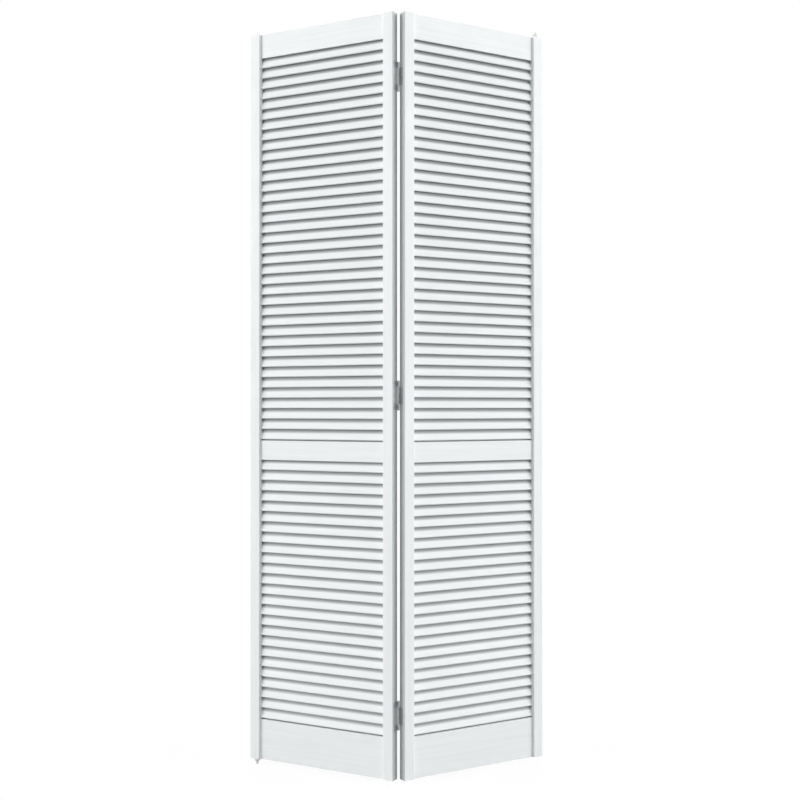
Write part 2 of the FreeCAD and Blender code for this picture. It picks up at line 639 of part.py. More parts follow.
def outer_leaf(z_centre):
    """Tall leaf: two lobes joined by a front band, round the window for the inner leaf."""
    z_low = z_centre - HINGE_HEIGHT / 2
    z_high = z_centre + HINGE_HEIGHT / 2
    half_window = WINDOW_HEIGHT / 2
    plate = leaf_plate(OUTER_LEAF_FRONT_Y, z_low, z_high, LEAF_CORNER)
    lower_eye = knuckle(z_low, z_low + LOBE_HEIGHT)
    upper_eye = knuckle(z_high - LOBE_HEIGHT, z_high)
    window_corners = [
        FreeCAD.Vector(HINGE_EDGE_X - 1, WINDOW_FRONT_Y, z_centre - half_window),
        FreeCAD.Vector(HINGE_EDGE_X - 1, HINGE_AXIS_Y + 1, z_centre - half_window),
        FreeCAD.Vector(HINGE_EDGE_X - 1, HINGE_AXIS_Y + 1, z_centre + half_window),
        FreeCAD.Vector(HINGE_EDGE_X - 1, WINDOW_FRONT_Y, z_centre + half_window),
    ]
    window_radii = [LEAF_CORNER - WINDOW_CLEARANCE, 0, 0, LEAF_CORNER - WINDOW_CLEARANCE]
    window = rounded_face(window_corners, window_radii).extrude(ALONG * (LEAF_THICKNESS + 2))
    holes = [
        set_in_pivot_stile(screw_hole(), y, z_centre + z) for y, z in outer_screw_places()
    ]
    body = plate.cut(window).fuse([lower_eye, upper_eye])
    return body.cut([pin_bore(z_centre)] + holes).removeSplitter()


def inner_leaf(z_centre):
    """Short leaf with one long knuckle, drawn on the pivot panel's edge for mirroring."""
    z_low = z_centre - INNER_LEAF_HEIGHT / 2
    z_high = z_centre + INNER_LEAF_HEIGHT / 2
    plate = leaf_plate(INNER_LEAF_FRONT_Y, z_low, z_high, LEAF_CORNER)
    holes = [
        set_in_pivot_stile(screw_hole(), y, z_centre + z) for y, z in inner_screw_places()
    ]
    body = plate.fuse(knuckle(z_low, z_high))
    return body.cut([pin_bore(z_centre)] + holes).removeSplitter()


def hinge_pin(z_centre):
    """Pin with a flat head at each end."""
    half = HINGE_HEIGHT / 2 + FACE_PLAY
    shank = cylinder(HINGE_PIN_DIAMETER / 2, z_centre - half, z_centre + half, ARM, HINGE_AXIS_Y)
    heads = []
    for z in (z_centre - half - HINGE_PIN_HEAD_HEIGHT, z_centre + half):
        head_radius = HINGE_PIN_HEAD_DIAMETER / 2
        chamfer = HINGE_PIN_HEAD_HEIGHT / 3
        head = chamfered_disc(head_radius, z, z + HINGE_PIN_HEAD_HEIGHT, chamfer, ARM, HINGE_AXIS_Y)
        heads.append(head)
    return shank.fuse(heads).removeSplitter()


# ---------------------------------------------------------------- assembly

def build():
    """Every piece of the door at rest, by name."""
    lower_slats = slat_group(slat_centres(LOWER_SILL_Z, LOWER_SLAT_COUNT))
    upper_slats = slat_group(slat_centres(UPPER_SILL_Z, UPPER_SLAT_COUNT))
    dowels = Part.makeCompound(all_dowels())
    hinge_stile_x = RAIL_END_X
    jamb_bores = [bottom_bore(), top_bore(0)]
    outer_places = outer_screw_places()
    inner_places = inner_screw_places()

    pivot_panel = {
        "jamb_stile": stile(JAMB_EDGE_X, "right", jamb_bores, []),
        "pivot_hinge_stile": stile(hinge_stile_x, "left", [], outer_places),
        "pivot_upper_slats": upper_slats,
        "pivot_lower_slats": lower_slats,
        "pivot_rail_dowels": dowels,
        "bottom_pivot_plug": bottom_plug(),
        "top_pivot_sleeve": plunger_sleeve(0),
        "outer_leaf_screws": Part.makeCompound(screws_for(outer_places, hinge_screw())),
        "top_pivot_pin": top_pivot_core(),
        "top_pivot_cap": top_pivot_cap(),
        "top_pivot_spring": plunger_spring(0),
    }
    guide_panel = {
        "lead_stile": mirrored(stile(JAMB_EDGE_X, "right", [top_bore(0)], [])),
        "guide_hinge_stile": mirrored(stile(hinge_stile_x, "left", [], inner_places)),
        "guide_upper_slats": mirrored(upper_slats),
        "guide_lower_slats": mirrored(lower_slats),
        "guide_rail_dowels": mirrored(dowels),
        "guide_sleeve": plunger_sleeve(GUIDE_X),
        "inner_leaf_screws": mirrored(Part.makeCompound(screws_for(inner_places, hinge_screw()))),
        "guide_pin": guide_plunger(),
        "guide_roller": guide_roller(),
        "guide_spring": plunger_spring(GUIDE_X),
    }
    for rail_name, rail_shape in RAILS.items():
        piece = rail(*rail_shape)
        pivot_panel["pivot_" + rail_name] = piece
        guide_panel["guide_" + rail_name] = mirrored(piece)
    for place, z_centre in HINGE_CENTRES.items():
        pivot_panel["hinge_" + place + "_outer_leaf"] = outer_leaf(z_centre)
        pivot_panel["hinge_" + place + "_pin"] = hinge_pin(z_centre)
        guide_panel["hinge_" + place + "_inner_leaf"] = mirrored(inner_leaf(z_centre))

    pieces = {
        "bottom_pivot_pin": bottom_pin(),
        "height_nut": height_nut(),
        "thrust_washer": thrust_washer(),
    }
    pieces.update({name: fold(shape, "pivot") for name, shape in pivot_panel.items()})
    pieces.update({name: fold(shape, "guide") for name, shape in guide_panel.items()})
    return pieces


def main():
    os.makedirs("parts", exist_ok=True)
    pieces = build()
    for name, shape in pieces.items():
        shape.exportStep(os.path.join("parts", name + ".step"))
        solids = shape.Solids
        volume_cm3 = sum(solid.Volume for solid in solids) / 1000
        state = "ok" if shape.isValid() else "INVALID"
        print(f"{name:28s} {len(solids):3d} solids {volume_cm3:10.3f} cm3 {state}")
    hinge = fold(Part.Vertex(HINGE_AXIS), "pivot").Point
    guide = fold(Part.Vertex(FreeCAD.Vector(GUIDE_X, 0, 0)), "guide").Point
    print("panel height", PANEL_HEIGHT, "door foot", DOOR_Z, "slat tilt", math.degrees(SLAT_TILT))
    print("hinge axis", tuple(hinge), "guide axis", tuple(guide))


main()
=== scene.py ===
# %% [markdown]
# # A louvred bifold closet door
# The door is two painted pine louvre panels. Hinges join them, so that they fold together
# in front of a closet. Each panel is two upright stiles, three rails and 62 slats.
#
# The shapes come from a packed construction model, where every stick of wood, hinge leaf and
# screw is a node of its own. This lesson doesn't move or change one of them. It gives each its
# real finish, paints shade between the slats and on the edges at the fold, and then lights and
# frames the door like a picture in a catalogue.

# %% Load the construction model
import json
import math

import bpy
from mathutils import Matrix, Vector


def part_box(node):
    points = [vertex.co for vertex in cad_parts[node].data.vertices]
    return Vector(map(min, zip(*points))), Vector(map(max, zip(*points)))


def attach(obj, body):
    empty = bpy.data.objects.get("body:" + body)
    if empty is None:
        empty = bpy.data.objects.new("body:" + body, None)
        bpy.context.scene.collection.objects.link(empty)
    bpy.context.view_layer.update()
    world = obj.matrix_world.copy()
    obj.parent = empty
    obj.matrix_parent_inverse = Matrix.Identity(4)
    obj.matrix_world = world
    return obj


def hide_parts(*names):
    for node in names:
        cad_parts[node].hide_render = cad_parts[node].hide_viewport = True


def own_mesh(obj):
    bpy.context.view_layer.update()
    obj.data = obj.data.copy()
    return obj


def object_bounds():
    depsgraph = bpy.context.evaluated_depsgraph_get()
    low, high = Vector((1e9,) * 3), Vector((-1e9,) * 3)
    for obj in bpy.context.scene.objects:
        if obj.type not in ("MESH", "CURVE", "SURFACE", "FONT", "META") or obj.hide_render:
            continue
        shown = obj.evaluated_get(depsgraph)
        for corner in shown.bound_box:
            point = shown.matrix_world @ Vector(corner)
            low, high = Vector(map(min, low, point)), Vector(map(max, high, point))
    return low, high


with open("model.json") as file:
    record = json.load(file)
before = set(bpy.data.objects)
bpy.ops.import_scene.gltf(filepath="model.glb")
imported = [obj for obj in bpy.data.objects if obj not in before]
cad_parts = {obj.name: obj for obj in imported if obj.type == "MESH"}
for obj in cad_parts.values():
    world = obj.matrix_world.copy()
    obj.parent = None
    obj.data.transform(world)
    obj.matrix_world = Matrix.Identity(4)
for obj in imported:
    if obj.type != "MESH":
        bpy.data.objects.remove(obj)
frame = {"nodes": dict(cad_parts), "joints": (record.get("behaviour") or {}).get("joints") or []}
cad_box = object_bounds()
print("door size in metres:", [round(high - low, 3) for low, high in zip(*cad_box)])

# %% [markdown]
# ## Two helpers
# Colours are easiest to choose as sRGB hex values, as in any paint or drawing program. Shaders
# add and multiply light, so they need linear values, and one function turns one into the other.
#
# A second function adds a shader node. Its inputs may be plain values or other nodes' outputs,
# so that a material reads from top to bottom in the order in which it is thought out.

# %% Helpers for colours and shader nodes
def linear(hex_colour):
    """An sRGB hex value such as 'EDF0F1' as the linear colour that a socket takes."""
    levels = [int(hex_colour[place:place + 2], 16) / 255 for place in (0, 2, 4)]
    curved = [v / 12.92 if v <= 0.04045 else ((v + 0.055) / 1.055) ** 2.4 for v in levels]
    return (*curved, 1.0)


def add_node(tree, kind, inputs=None, **settings):
    """Add a shader node, set its settings, and set or link its inputs."""
    node = tree.nodes.new(kind)
    for name, value in settings.items():
        setattr(node, name, value)
    for name, value in (inputs or {}).items():
        if isinstance(value, bpy.types.NodeSocket):
            tree.links.new(value, node.inputs[name])
        else:
            node.inputs[name].default_value = value
    return node


def millimetres(*sizes):
    """Sizes in millimetres as the metres that the scene is drawn in."""
    return tuple(size / 1000 for size in sizes)


print("mid grey 808080 is linear", round(linear("808080")[0], 3))

# %% [markdown]
# ## A new, empty material
# Every finish below starts in the same way: a Principled shader on the material's output. It
# is one physically based model for paint, plastic and metal alike. What makes a finish its own
# is what is plugged into it, so this step only makes the two nodes and hands them back.

# %% Start a material
def start_material(name):
    """A new material's node tree and its Principled shader."""
    material = bpy.data.materials.new(name)
    material.use_nodes = True
    tree = material.node_tree
    tree.nodes.clear()
    shader = add_node(tree, "ShaderNodeBsdfPrincipled")
    add_node(tree, "ShaderNodeOutputMaterial", {"Surface": shader.outputs["BSDF"]})
    return material, tree, shader


# %% [markdown]
# ## Where a pattern lies
# Wood grain, brush marks and lathe lines all have a direction and a size. Object coordinates
# give a place on the piece in metres, and they stay with the piece when a joint moves it. A
# Mapping node of type Texture first turns them, and then divides them by a size for each axis,
# so a noise of scale 1 behind it has cells of exactly that size.
#
# Blender's noise rarely leaves the range from 0.3 to 0.7, so colours and numbers that follow it
# are spread over that range, and not from 0 to 1.
#
# The door stands half folded, so the pieces that lie across a panel run at the panel's angle.

# %% Pattern space
REST_SWING_DEG = 29.4
NOISE_LOW = 0.3
NOISE_HIGH = 0.7


def pattern_space(tree, cell, turn_deg=0.0):
    """Object coordinates turned about the vertical and divided by a cell's size in metres."""
    place = add_node(tree, "ShaderNodeTexCoord")
    mapping = add_node(tree, "ShaderNodeMapping", {
        "Vector": place.outputs["Object"],
        "Rotation": (0.0, 0.0, math.radians(turn_deg)),
        "Scale": cell,
    }, vector_type="TEXTURE")
    return mapping.outputs["Vector"]


def soft_noise(tree, space, detail=2.0):
    """A noise whose cells are one unit of the given pattern space."""
    noise = add_node(tree, "ShaderNodeTexNoise", {
        "Vector": space, "Scale": 1.0, "Detail": detail,
    })
    return noise.outputs["Fac"]


def two_colours(tree, amount, low_hex, high_hex):
    """A colour that follows an amount from one hex value to another, over the noise's range."""
    ramp = add_node(tree, "ShaderNodeValToRGB", {"Fac": amount})
    low_end, high_end = ramp.color_ramp.elements
    low_end.color, low_end.position = linear(low_hex), NOISE_LOW
    high_end.color, high_end.position = linear(high_hex), NOISE_HIGH
    return ramp.outputs["Color"]


def between(tree, amount, low, high):
    """A number that follows an amount between two values, over the noise's range."""
    ranged = add_node(tree, "ShaderNodeMapRange", {
        "Value": amount, "From Min": NOISE_LOW, "From Max": NOISE_HIGH,
        "To Min": low, "To Max": high,
    })
    return ranged.outputs["Result"]


def relief(tree, height, depth_mm, below=None):
    """A bump of a real depth, laid over the relief below it."""
    inputs = {"Height": height, "Strength": 1.0, "Distance": depth_mm / 1000}
    if below is not None:
        inputs["Normal"] = below
    return add_node(tree, "ShaderNodeBump", inputs).outputs["Normal"]


# %% [markdown]
# ## Painted pine
# Stiles, rails and slats are knot-free pine under two coats of white satin enamel. The paint is
# sprayed and then laid off with a wide brush along the grain. Three things show through it:
#
# - pine's growth rings, because the soft early wood sinks a little between the hard late wood,
#   which makes long, low ridges along each stick;
# - the brush, which leaves finer lines in the same direction;
# - the enamel's own skin, which dries to a faint orange peel in every direction.
#
# A bitmap would need UVs on two hundred solids. Noise stretched along the grain needs none, and
# it runs on past every arris, as real grain does.

# %% Sizes of the grain and the brush marks, in millimetres
RING_WIDTH = 7.0
RING_LENGTH = 260.0
RING_DEPTH = 0.16
BRUSH_WIDTH = 2.4       # real bristles leave 0.5 mm lines, drawn coarser so that they show
BRUSH_LENGTH = 110.0
BRUSH_DEPTH = 0.03
PEEL_SIZE = 3.0
PEEL_DEPTH = 0.02
SHEEN_PATCH = 60.0      # how far apart the coat is a little thicker or thinner


def along(axis, length, width):
    """A cell that is long on one axis and narrow on the other two, in millimetres."""
    return millimetres(*[length if index == axis else width for index in range(3)])


def evenly(size):
    """A cell of one size in every direction, in millimetres."""
    return millimetres(size, size, size)


# %% [markdown]
# The coat itself is a dielectric. Satin enamel has an IOR near 1.5, and its roughness wanders a
# little round 0.5, where the gun left more or less of it. Its white leans a touch to blue, and
# over the late-wood ridges it is a shade brighter, because it lies thinner and tighter there.
# So one ring noise drives both the relief and the tint.

# %% Painted pine
ENAMEL_HIGH = "EFF2F3"
ENAMEL_LOW = "EAEDEE"
PAINTED_SHADE_GREY = "989C9D"       # the grey of the painted shade, which the next step mixes into the enamel
ENAMEL_ROUGHNESS = (0.42, 0.54)
ENAMEL_IOR = 1.5
ENAMEL_SHINE = 0.3      # pigment breaks a satin coat's skin, so it mirrors less than a gloss coat
UPRIGHT = 2             # the grain runs along Z in the stiles
ACROSS = 0              # and along the turned panel's X in the rails and slats


def painted_pine(name, axis, turn_deg=0.0):
    """White satin enamel over pine, with its grain along one axis of the turned panel."""
    material, tree, shader = start_material(name)
    ring_cell = along(axis, RING_LENGTH, RING_WIDTH)
    brush_cell = along(axis, BRUSH_LENGTH, BRUSH_WIDTH)
    rings = soft_noise(tree, pattern_space(tree, ring_cell, turn_deg), 3.0)
    brush = soft_noise(tree, pattern_space(tree, brush_cell, turn_deg))
    peel = soft_noise(tree, pattern_space(tree, evenly(PEEL_SIZE)))
    patch = soft_noise(tree, pattern_space(tree, evenly(SHEEN_PATCH)))

    tint = two_colours(tree, rings, ENAMEL_LOW, ENAMEL_HIGH)
    tree.links.new(tint, shader.inputs["Base Color"])
    tree.links.new(between(tree, patch, *ENAMEL_ROUGHNESS), shader.inputs["Roughness"])
    shader.inputs["IOR"].default_value = ENAMEL_IOR
    shader.inputs["Specular IOR Level"].default_value = ENAMEL_SHINE

    surface = relief(tree, rings, RING_DEPTH)
    surface = relief(tree, brush, BRUSH_DEPTH, surface)
    surface = relief(tree, peel, PEEL_DEPTH, surface)
    tree.links.new(surface, shader.inputs["Normal"])
    return material


stile_paint = painted_pine("painted_pine_upright", UPRIGHT)
pivot_stile_paint = painted_pine("painted_pine_pivot_hinge_stile", UPRIGHT)
guide_stile_paint = painted_pine("painted_pine_guide_hinge_stile", UPRIGHT)
pivot_panel_paint = painted_pine("painted_pine_pivot_panel", ACROSS, -REST_SWING_DEG)
guide_panel_paint = painted_pine("painted_pine_guide_panel", ACROSS, REST_SWING_DEG)
for paint in (stile_paint, pivot_stile_paint, guide_stile_paint,
              pivot_panel_paint, guide_panel_paint):
    print("paint material:", paint.name)

# %% [markdown]
# ## Painted shade
# Two places get a grey mixed into the enamel's colour. It is painted shade, and it darkens them
# beyond the shade that the lamps give:
#
# - Halfway through the panels' thickness, where one slat covers the next and the lowest one
#   stands in front of its rail's lip. So the gaps between the louvres look darker than their
#   shade alone would make them.
# - The two edges that meet at the fold, which are hidden while the door is shut. The real edges
#   are probably white. Their light grey is painted shade that makes up for soft lamps that reach
#   further into the fold than a studio's would.
#
# Both places are flat layers inside a panel. A layer's distance is measured in the panel's own
# directions from the axis on which the panel turns: X along it, Y through it and Z up.

# %% Helpers for painted shade
def place_in_panel(tree, panel_axis, turn_deg):
    """The X, Y and Z of a place, measured from a turned panel's axis."""
    place = add_node(tree, "ShaderNodeTexCoord")
    inside = add_node(tree, "ShaderNodeMapping", {
        "Vector": place.outputs["Object"],
        "Location": panel_axis,
        "Rotation": (0.0, 0.0, math.radians(turn_deg)),
    }, vector_type="TEXTURE")
    return add_node(tree, "ShaderNodeSeparateXYZ", {"Vector": inside.outputs["Vector"]}).outputs


def near_layer(tree, position, layer_mm, within_mm, beyond_mm):
    """1 within one distance of a flat layer and 0 beyond another."""
    offset = add_node(tree, "ShaderNodeMath", {
        0: position, 1: layer_mm / 1000,
    }, operation="SUBTRACT")
    distance = add_node(tree, "ShaderNodeMath", {0: offset.outputs[0]}, operation="ABSOLUTE")
    nearness = add_node(tree, "ShaderNodeMapRange", {
        "Value": distance.outputs[0],
        "From Min": within_mm / 1000, "From Max": beyond_mm / 1000, "To Min": 1.0, "To Max": 0.0,
    }, interpolation_type="SMOOTHSTEP")
    return nearness.outputs["Result"]


def mix_painted_shade(material, where, share):
    """Mix a share of painted shade grey into a paint's colour, as far as the mask says."""
    tree = material.node_tree
    shader = next(node for node in tree.nodes if node.type == "BSDF_PRINCIPLED")
    enamel = shader.inputs["Base Color"].links[0].from_socket
    # the share of painted shade grey at each place
    bare = add_node(tree, "ShaderNodeMath", {0: where, 1: share}, operation="MULTIPLY")
    coat = add_node(tree, "ShaderNodeMixRGB", {
        "Fac": bare.outputs[0], "Color1": enamel, "Color2": linear(PAINTED_SHADE_GREY),
    })
    tree.links.new(coat.outputs["Color"], shader.inputs["Base Color"])


def centre(node):
    """The middle of a construction node's box."""
    low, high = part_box(node)
    return (Vector(low) + Vector(high)) / 2


pivot_axis = (0.0, 0.0, 0.0)
guide_axis = (centre("guide_pin").x, centre("guide_pin").y, 0.0)
print("guide axis at", [round(value, 4) for value in guide_axis])

# %% [markdown]
# The painted shade between the louvres stops short of the panel's head and foot. A Compare
# node gives 1 while the height is close enough to the middle of the panel.

# %% Painted shade between the slats
SLAT_LAYER_DEPTH = 15.875       # thickness of rails and slats, in millimetres
SLAT_LAYER_MIDDLE = 1.5875      # how far behind the panel's axis the middle of that layer is
SHADE_FULL_WITHIN = 0.10              # shares of half the layer: full painted shade inside the first,
SHADE_GONE_BEYOND = 0.50           # none outside the second
UNSHADED_ENDS = 40.0             # how far in from the panel's head and foot no shade is painted


def paint_shade_between_slats(material, panel_axis, turn_deg):
    """Paint shade halfway through the panel's thickness, where the slats overlap."""
    tree = material.node_tree
    place = place_in_panel(tree, panel_axis, turn_deg)
    half_layer = SLAT_LAYER_DEPTH / 2
    shade_layer = near_layer(tree, place["Y"], SLAT_LAYER_MIDDLE,
                         SHADE_FULL_WITHIN * half_layer, SHADE_GONE_BEYOND * half_layer)
    foot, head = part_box("lead_stile")
    between_ends = add_node(tree, "ShaderNodeMath", {
        0: place["Z"], 1: (head[2] + foot[2]) / 2,
        2: (head[2] - foot[2]) / 2 - UNSHADED_ENDS / 1000,
    }, operation="COMPARE")
    inside = add_node(tree, "ShaderNodeMath", {0: shade_layer, 1: between_ends.outputs[0]},
                      operation="MULTIPLY")
    mix_painted_shade(material, inside.outputs[0], 1.0)


# Painted shade: grey mixed into the rails' and slats' enamel halfway through each panel.
paint_shade_between_slats(pivot_panel_paint, pivot_axis, -REST_SWING_DEG)
paint_shade_between_slats(guide_panel_paint, guide_axis, REST_SWING_DEG)
# What this print calls primer is the painted shade between the slats.
print("primer shows in the middle", SHADE_GONE_BEYOND * SLAT_LAYER_DEPTH, "mm of rails and slats")

# %% Painted shade on the edges at the fold
FOLD_EDGE = 434.18      # from the panel's axis to its edge at the fold, in millimetres
FOLD_WITHIN = 0.6       # full painted shade within this depth below that edge,
FOLD_BEYOND = 1.6       # and none from here on, on the face
FOLD_SHADE_SHARE = 0.60       # how much of the painted shade grey is mixed in


def paint_shade_on_fold_edge(material, panel_axis, turn_deg, edge_mm):
    """Paint some shade on the edge that faces the other panel."""
    tree = material.node_tree
    place = place_in_panel(tree, panel_axis, turn_deg)
    near_edge = near_layer(tree, place["X"], edge_mm, FOLD_WITHIN, FOLD_BEYOND)
    mix_painted_shade(material, near_edge, FOLD_SHADE_SHARE)


# Painted shade: a light grey mixed into the paint of the two edges that face each other at the
# fold.
paint_shade_on_fold_edge(pivot_stile_paint, pivot_axis, -REST_SWING_DEG, FOLD_EDGE)
paint_shade_on_fold_edge(guide_stile_paint, guide_axis, REST_SWING_DEG, -FOLD_EDGE)
# What this print calls a thin coat is painted shade.
print("thin coat on the edges", FOLD_EDGE, "mm from the panels' axes")

# %% [markdown]
# ## Zinc-plated hinges
# The hinge leaves are stamped from mild steel strip and barrel plated with zinc. The plating
# gives a dull, cool grey: it tumbles in the drum, so it has no direction, only faint cloudy
# patches where the coat is finer or coarser, and small dents from its neighbours.
#
# A metal has no diffuse colour. Its base colour is what it does to a reflection, and the
# roughness decides how far that reflection is smeared.

# %% Zinc plate
ZINC_BRIGHT = "C3C6C8"
ZINC_DULL = "A9ACAF"
HINGE_ROUGHNESS = (0.52, 0.38)      # from the dull to the bright patches
SCREW_ROUGHNESS = (0.40, 0.26)
CLOUD_SIZE = 9.0
DENT_SIZE = 1.6
DENT_DEPTH = 0.03


def zinc_plate(name, dull, bright, roughness):
    """Barrel-plated zinc on steel: cloudy, without a direction, softly dented."""
    material, tree, shader = start_material(name)
    clouds = soft_noise(tree, pattern_space(tree, evenly(CLOUD_SIZE)), 4.0)
    dents = soft_noise(tree, pattern_space(tree, evenly(DENT_SIZE)))
    tree.links.new(two_colours(tree, clouds, dull, bright), shader.inputs["Base Color"])
    tree.links.new(between(tree, clouds, *roughness), shader.inputs["Roughness"])
    tree.links.new(relief(tree, dents, DENT_DEPTH), shader.inputs["Normal"])
    shader.inputs["Metallic"].default_value = 1.0
    return material


hinge_zinc = zinc_plate("zinc_plated_hinge_steel", ZINC_DULL, ZINC_BRIGHT, HINGE_ROUGHNESS)
screw_zinc = zinc_plate("zinc_plated_screw_steel", "A3A6A8", "C2C4C5", SCREW_ROUGHNESS)
print("zinc materials:", hinge_zinc.name, screw_zinc.name)

# %% [markdown]
# ## Turned and drawn steel
# The pivot pin, the guide pin and the hinge pins come off a lathe. The tool leaves one fine
# spiral, so the light smears into a band across the pin. Its lines lie flat round the upright
# axis: they are narrow in Z and run on for a long way in X and Y.
#
# The springs are drawn wire and look smoother and darker, with only the die's faint scratches.

# %% Turned and drawn steel
LATHE_PITCH = 0.7       # a real feed is about 0.1 mm, drawn coarser so that it shows
LATHE_RUN = 40.0        # how far one tool line goes on before it changes
LATHE_DEPTH = 0.02
WIRE_MARK = 2.0
WIRE_DEPTH = 0.005


def bare_steel(name, cell, depth, hexes, roughness):
    """Uncoated steel with tool marks of one cell size."""
    material, tree, shader = start_material(name)
    marks = soft_noise(tree, pattern_space(tree, cell))
    tree.links.new(two_colours(tree, marks, *hexes), shader.inputs["Base Color"])
    tree.links.new(between(tree, marks, *roughness), shader.inputs["Roughness"])
    tree.links.new(relief(tree, marks, depth), shader.inputs["Normal"])
    shader.inputs["Metallic"].default_value = 1.0
    return material


turned_steel = bare_steel(
    "turned_steel", millimetres(LATHE_RUN, LATHE_RUN, LATHE_PITCH), LATHE_DEPTH,
    hexes=("B9BBBD", "D2D4D5"), roughness=(0.34, 0.22),
)
spring_wire = bare_steel(
    "drawn_spring_wire", evenly(WIRE_MARK), WIRE_DEPTH,
    hexes=("8C8F92", "A4A7AA"), roughness=(0.34, 0.26),
)
print("steel materials:", turned_steel.name, spring_wire.name)

# %% [markdown]
# ## White nylon
# The guide roller, the sleeves and the plug are moulded nylon. It is a waxy white, a little
# warmer than the paint. Light enters it and comes out a millimetre further on, which softens
# its shadows, so it gets some subsurface scattering. The mould's spark-eroded wall leaves a
# fine, even grain.

# %% White nylon
MOULD_GRAIN = 0.8       # real grain is about 0.2 mm, drawn coarser so that it shows
MOULD_DEPTH = 0.02
FLOW_SIZE = 12.0        # the faint clouds that the flowing melt leaves
NYLON_IOR = 1.53
NYLON_ROUGHNESS = (0.42, 0.52)
SCATTER_SHARE = 0.15
SCATTER_DISTANCE = 0.001    # metres


def moulded_nylon():
    """Natural white nylon from a textured mould."""
    material, tree, shader = start_material("moulded_white_nylon")
    grain = soft_noise(tree, pattern_space(tree, evenly(MOULD_GRAIN)))
    flow = soft_noise(tree, pattern_space(tree, evenly(FLOW_SIZE)))
    tree.links.new(two_colours(tree, flow, "ECECE8", "F1F1EE"), shader.inputs["Base Color"])
    tree.links.new(between(tree, flow, *NYLON_ROUGHNESS), shader.inputs["Roughness"])
    tree.links.new(relief(tree, grain, MOULD_DEPTH), shader.inputs["Normal"])
    shader.inputs["IOR"].default_value = NYLON_IOR
    shader.inputs["Subsurface Weight"].default_value = SCATTER_SHARE
    shader.inputs["Subsurface Scale"].default_value = SCATTER_DISTANCE
    return material


nylon = moulded_nylon()
print("nylon material:", nylon.name)

# %% [markdown]
# ## Beech dowels
# The dowels that hold rails and stiles together are hidden in the wood. They still get their
# own finish, because someone may take the door apart. Beech is pale brown and even, with short
# darker flecks along the grain where its rays are cut. The dowels lie across the panels, and
# their flecks follow them closely enough on both.

# %% Beech
FLECK_LENGTH = 4.0
FLECK_WIDTH = 0.5
FLECK_DEPTH = 0.03
BEECH_ROUGHNESS = (0.62, 0.52)


def bare_beech():
    """Planed, unpainted beech with ray flecks."""
    material, tree, shader = start_material("bare_beech")
    fleck_cell = along(ACROSS, FLECK_LENGTH, FLECK_WIDTH)
    flecks = soft_noise(tree, pattern_space(tree, fleck_cell), 3.0)
    tree.links.new(two_colours(tree, flecks, "B98D62", "D2AC80"), shader.inputs["Base Color"])
    tree.links.new(between(tree, flecks, *BEECH_ROUGHNESS), shader.inputs["Roughness"])
    tree.links.new(relief(tree, flecks, FLECK_DEPTH), shader.inputs["Normal"])
    return material


beech = bare_beech()
print("wood material:", beech.name)

# %% [markdown]
# ## Which piece gets which finish
# The construction model names a material slot for every node, so most finishes follow from the
# slot alone. The paint also depends on the piece: its grain is upright in a stile, and across
# the panel in a rail or a slat.

# %% Dress the nodes
SLOT_FINISHES = {
    "white_nylon": nylon,
    "hinge_steel": hinge_zinc,
    "screw_steel": screw_zinc,
    "plain_steel": turned_steel,
    "spring_steel": spring_wire,
    "dowel_beech": beech,
}

HINGE_STILE_PAINTS = {
    "pivot_hinge_stile": pivot_stile_paint,
    "guide_hinge_stile": guide_stile_paint,
}


def paint_for(name):
    """The paint whose grain runs the right way for a wooden node."""
    if name.endswith("stile"):
        return HINGE_STILE_PAINTS.get(name, stile_paint)
    return guide_panel_paint if name.startswith("guide_") else pivot_panel_paint


counts = {}
for name, node in frame["nodes"].items():
    slot = node.material_slots[0].material.name
    finish = SLOT_FINISHES.get(slot) or paint_for(name)
    node.material_slots[0].material = finish
    counts[finish.name] = counts.get(finish.name, 0) + 1
print("nodes dressed:", counts)

# %% [markdown]
# ## The springs
# Two coil springs push the top pivot and the guide roller up into the head track. When a
# plunger is pressed in to lift the door out, the spring below its collar gets shorter. A piece
# of the construction model is rigid, and the plunger would cut through it. So a copy of each
# spring's mesh stands for it, on the body that holds it, and the construction node is hidden.
# The copy keeps its full length. Its length and the joint's travel are printed.

# %% Springs
SPRINGS = {
    # construction node: the body that holds it, the joint that squeezes it
    "top_pivot_spring": ("pivot_panel", "top_pivot_slide"),
    "guide_spring": ("guide_panel", "guide_slide"),
}


def squeezed_spring(node_name, body, joint_name):
    """A copy of a spring on the body that holds it, with its length and its joint's travel."""
    low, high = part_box(node_name)
    joint = next(row for row in frame["joints"] if row["name"] == joint_name)
    travel = max(abs(limit) for limit in joint["range_m"])
    length = high[2] - low[2]
    mesh = frame["nodes"][node_name].data.copy()
    coil = bpy.data.objects.new(node_name + "_coil", mesh)
    bpy.context.scene.collection.objects.link(coil)
    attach(coil, body)
    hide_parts(node_name)
    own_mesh(coil)
    return length, travel


for spring_name, (spring_body, spring_joint) in SPRINGS.items():
    length, travel = squeezed_spring(spring_name, spring_body, spring_joint)
    print(f"{spring_name}: {length * 1000:.2f} mm long, squeezed by {travel * 1000:.2f} mm")

# %% [markdown]
# ## A white studio
# A catalogue picture shows the door on plain white. The white must not come from more light on
# the door, or its paint would burn out, so the surroundings are drawn white only for what the
# camera sees: directly, in a reflection, or through something clear. The Light Path node tells
# those rays from the ones that carry light.

# %% World
FILL_LEVEL = 0.03
WHITE_LEVEL = 1.0


def seen_by_camera(tree):
    """1 for camera, glossy and transmission rays, 0 for the rays that only carry light."""
    rays = add_node(tree, "ShaderNodeLightPath")
    seen = rays.outputs["Is Camera Ray"]
    for kind in ("Is Glossy Ray", "Is Transmission Ray"):
        seen = add_node(tree, "ShaderNodeMath", {0: seen, 1: rays.outputs[kind]},
                        operation="MAXIMUM").outputs[0]
    return seen


